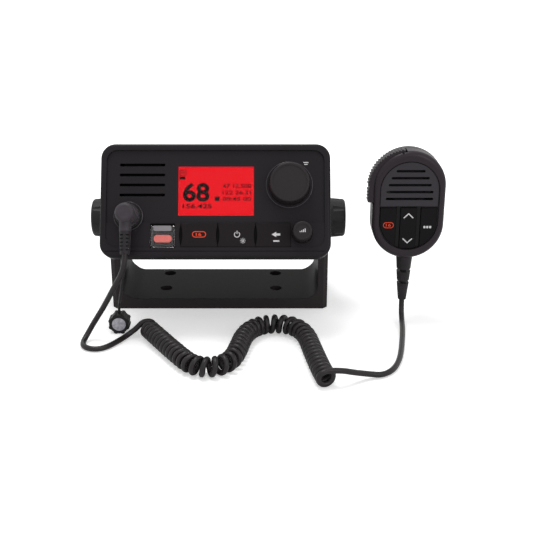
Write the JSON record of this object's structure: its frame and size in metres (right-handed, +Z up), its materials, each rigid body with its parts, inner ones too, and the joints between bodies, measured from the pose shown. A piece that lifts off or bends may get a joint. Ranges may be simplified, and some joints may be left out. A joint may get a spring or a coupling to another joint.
{
  "type": "vhf marine radio",
  "caption": "Fixed-mount marine radio on a tilting bracket, with a red display, rotary knobs, keys and a fist microphone on a curly cord hung in its clip.",
  "frame": {"origin": "centre of the four deck screw holes, in the underside of the bracket's base", "axes": "+Z up off the deck, +X to the operator's right, the face looks towards -Y"},
  "size_m": [0.3003, 0.2419, 0.1548],
  "materials": {
    "bezel_plastic": "fine moulded texture",
    "case_metal": "die-cast, black powder coat",
    "bracket_plastic": "glass-filled nylon, fine texture",
    "knob_rubber": "soft-touch coat",
    "key_plastic": "satin moulded",
    "handset_plastic": "satin moulded",
    "cord_rubber": "extruded, semi-matt",
    "seal_rubber": "moulded silicone",
    "screen_glass": "clear window",
    "screen_red": "red backlit display",
    "distress_red": "red moulded",
    "smoked_cover": "smoked clear plastic",
    "nickel_steel": "nickel plated or plain steel",
    "insert_brass": "turned",
    "circuit_board": "solder mask",
    "socket_plastic": "moulded"
  },
  "bodies": {
    "bracket_and_clip": {"bracket": "bracket_plastic", "pivot_washers": "seal_rubber", "handset_clip": "bracket_plastic", "cord_lead_a": "cord_rubber", "cord_coil": "cord_rubber", "cord_lead_b": "cord_rubber", "dust_cap": "seal_rubber", "cap_tether": "seal_rubber"},
    "radio": {"front_bezel": "bezel_plastic", "rear_case": "case_metal", "case_seal": "seal_rubber", "case_screws": "nickel_steel", "display_lens": "screen_glass", "display_panel": "screen_red", "front_board": "circuit_board", "main_board": "circuit_board", "rf_shield": "nickel_steel", "speaker": "nickel_steel", "speaker_mesh": "seal_rubber", "handset_socket": "socket_plastic", "antenna_socket": "nickel_steel", "power_gland": "socket_plastic", "network_port": "socket_plastic", "channel_encoder": "nickel_steel", "volume_encoder": "nickel_steel", "pivot_inserts": "insert_brass", "key_switches": "circuit_board", "key_membrane": "seal_rubber", "distress_hinge_pin": "nickel_steel", "mic_plug": "cord_rubber", "plug_boot": "cord_rubber", "tether_ring": "seal_rubber"},
    "knob_left": {"bracket_knob_left": "bracket_plastic", "knob_stud_left": "nickel_steel"},
    "knob_right": {"bracket_knob_right": "bracket_plastic", "knob_stud_right": "nickel_steel"},
    "channel_shaft": {"channel_shaft": "nickel_steel"},
    "channel_knob": {"channel_knob": "knob_rubber"},
    "volume_shaft": {"volume_shaft": "nickel_steel"},
    "volume_knob": {"volume_knob": "knob_rubber"},
    "key_16": {"key_16": "key_plastic"},
    "key_power": {"key_power": "key_plastic"},
    "key_back": {"key_back": "key_plastic"},
    "distress_cover": {"distress_cover": "smoked_cover"},
    "distress_button": {"distress_button": "distress_red"},
    "plug_collar": {"plug_collar": "cord_rubber"},
    "handset": {"handset_front": "handset_plastic", "handset_rear": "handset_plastic", "handset_seal": "seal_rubber", "grille_panel": "handset_plastic", "handset_speaker": "nickel_steel", "handset_board": "circuit_board", "hanger_stud": "bracket_plastic", "handset_boot": "cord_rubber", "handset_screws": "nickel_steel", "ptt_pin": "nickel_steel"},
    "mic_key_left": {"mic_key_left": "key_plastic"},
    "mic_key_right": {"mic_key_right": "key_plastic"},
    "mic_rocker": {"mic_rocker": "key_plastic"},
    "ptt_button": {"ptt_button": "handset_plastic"}
  },
  "joints": [
    {"name": "radio_tilt", "type": "hinge", "parent": "bracket_and_clip", "child": "radio", "pos_m": [0, -0.0293, 0.0812], "axis": [1, 0, 0], "range_deg": [-13, 27], "deforming": ["cord_lead_a", "cap_tether"]},
    {"name": "left_knob_turn", "type": "hinge", "parent": "radio", "child": "knob_left", "pos_m": [-0.1, -0.0293, 0.0812], "axis": [-1, 0, 0], "continuous": true},
    {"name": "right_knob_turn", "type": "hinge", "parent": "radio", "child": "knob_right", "pos_m": [0.1, -0.0293, 0.0812], "axis": [1, 0, 0], "continuous": true},
    {"name": "channel_turn", "type": "hinge", "parent": "radio", "child": "channel_shaft", "pos_m": [0.0607, -0.07528, 0.12444], "axis": [0, -0.891, 0.454], "continuous": true},
    {"name": "channel_push", "type": "slide", "parent": "channel_shaft", "child": "channel_knob", "axis": [0, 0.891, -0.454], "range_m": [0, 0.0006], "stiffness_N_per_m": 900, "springref_m": -0.001},
    {"name": "volume_turn", "type": "hinge", "parent": "radio", "child": "volume_shaft", "pos_m": [0.0709, -0.09344, 0.0888], "axis": [0, -0.891, 0.454], "continuous": true},
    {"name": "volume_push", "type": "slide", "parent": "volume_shaft", "child": "volume_knob", "axis": [0, 0.891, -0.454], "range_m": [0, 0.0006], "stiffness_N_per_m": 900, "springref_m": -0.001},
    {"name": "key_16_push", "type": "slide", "parent": "radio", "child": "key_16", "axis": [0, 0.891, -0.454], "range_m": [0, 0.0006], "stiffness_N_per_m": 800, "springref_m": -0.001},
    {"name": "key_power_push", "type": "slide", "parent": "radio", "child": "key_power", "axis": [0, 0.891, -0.454], "range_m": [0, 0.0006], "stiffness_N_per_m": 800, "springref_m": -0.001},
    {"name": "key_back_push", "type": "slide", "parent": "radio", "child": "key_back", "axis": [0, 0.891, -0.454], "range_m": [0, 0.0006], "stiffness_N_per_m": 800, "springref_m": -0.001},
    {"name": "distress_cover_lift", "type": "hinge", "parent": "radio", "child": "distress_cover", "pos_m": [-0.0431, -0.08961, 0.09279], "axis": [-1, 0, 0], "range_deg": [0, 100], "stiffness_Nm_per_rad": 0.004, "springref_deg": -22.92},
    {"name": "distress_push", "type": "slide", "parent": "radio", "child": "distress_button", "axis": [0, 0.891, -0.454], "range_m": [0, 0.0008], "stiffness_N_per_m": 600, "springref_m": -0.001},
    {"name": "plug_collar_turn", "type": "hinge", "parent": "radio", "child": "plug_collar", "pos_m": [-0.0712, -0.09168, 0.10328], "axis": [0, -0.891, 0.454], "continuous": true},
    {"name": "handset_lift", "type": "slide", "parent": "bracket_and_clip", "child": "handset", "axis": [0, 0, 1], "range_m": [0, 0.018], "deforming": ["cord_lead_b"]},
    {"name": "mic_left_push", "type": "slide", "parent": "handset", "child": "mic_key_left", "axis": [0, 1, 0], "range_m": [0, 0.0005], "stiffness_N_per_m": 800, "springref_m": -0.001},
    {"name": "mic_right_push", "type": "slide", "parent": "handset", "child": "mic_key_right", "axis": [0, 1, 0], "range_m": [0, 0.0005], "stiffness_N_per_m": 800, "springref_m": -0.001},
    {"name": "mic_rocker_tilt", "type": "hinge", "parent": "handset", "child": "mic_rocker", "pos_m": [0.1592, -0.0771, 0.08845], "axis": [1, 0, 0], "range_deg": [-3, 3], "stiffness_Nm_per_rad": 0.3},
    {"name": "ptt_press", "type": "hinge", "parent": "handset", "child": "ptt_button", "pos_m": [0.15243, -0.0741, 0.15195], "axis": [0, -1, 0], "range_deg": [0, 2.5], "stiffness_Nm_per_rad": 1, "springref_deg": -2.86}
  ]
}
